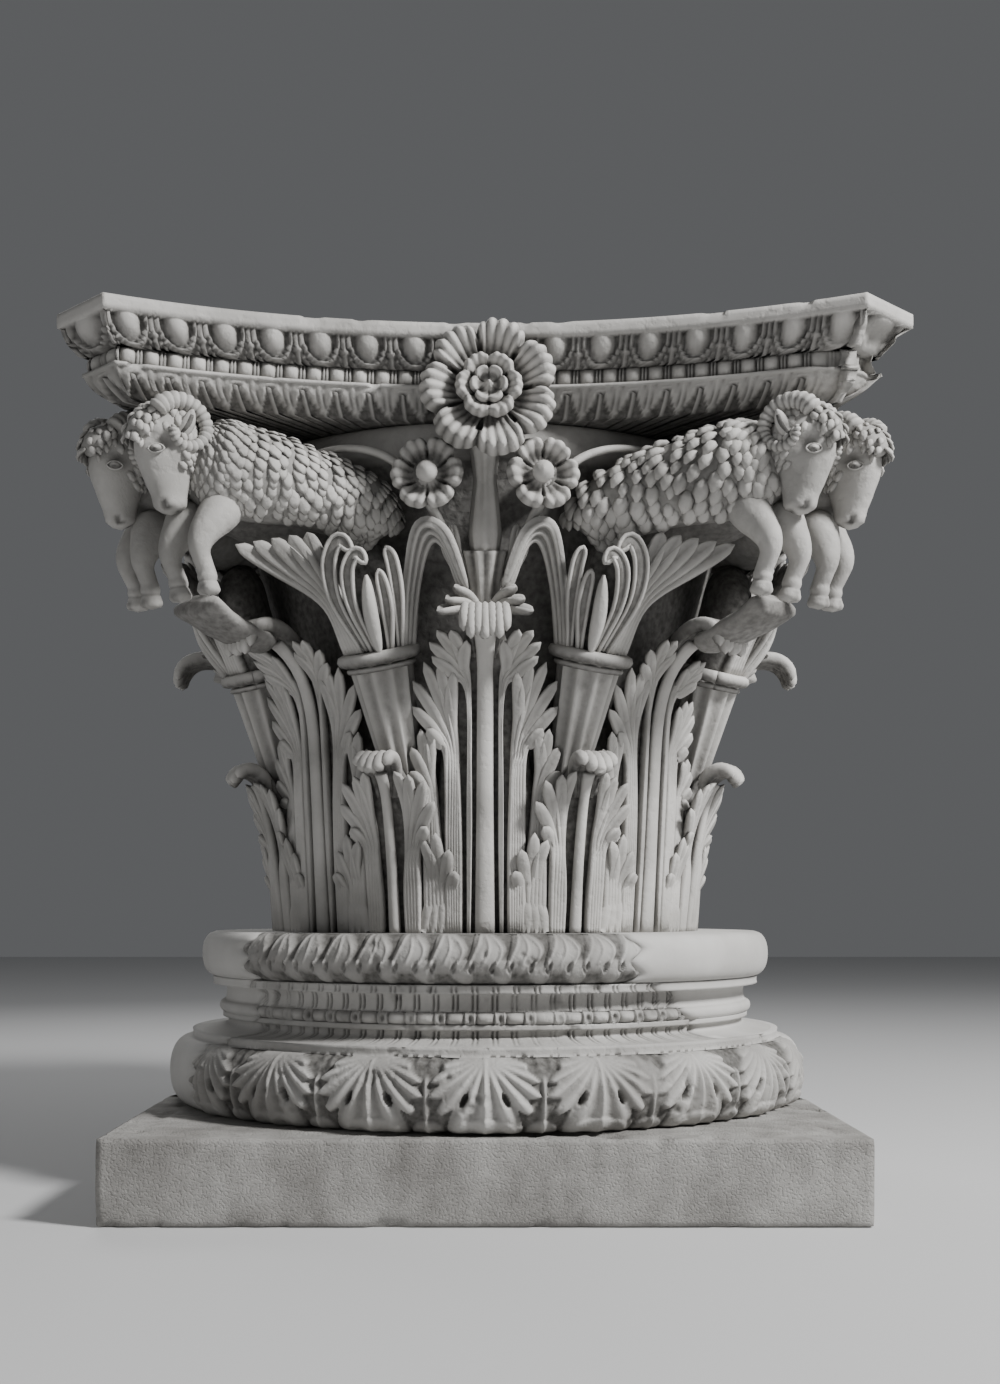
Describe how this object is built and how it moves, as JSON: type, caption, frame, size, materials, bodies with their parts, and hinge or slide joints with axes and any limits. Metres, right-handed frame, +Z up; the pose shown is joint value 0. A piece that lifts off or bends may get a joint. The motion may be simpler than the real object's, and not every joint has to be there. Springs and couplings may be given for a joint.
{
  "type": "column capital",
  "caption": "Marble Corinthian capital with rams at its corners, on a carved round base and a square plinth.",
  "frame": {"origin": "centre of the plinth's underside", "axes": "+Z up along the column's axis, -Y towards the front face that shows the carved fragment of the base, +X to the right of the front"},
  "size_m": [1.354, 1.354, 1.4386],
  "materials": {
    "marble": "weathered, fine grain",
    "old_carved_stone": "weathered, chipped",
    "restoration": "smooth, matt",
    "rough_stone": "rough-tooled and pitted"
  },
  "bodies": {
    "root": {"capital": "marble", "base_carved_stone": "old_carved_stone", "base_restoration": "restoration", "plinth": "rough_stone"}
  },
  "joints": []
}
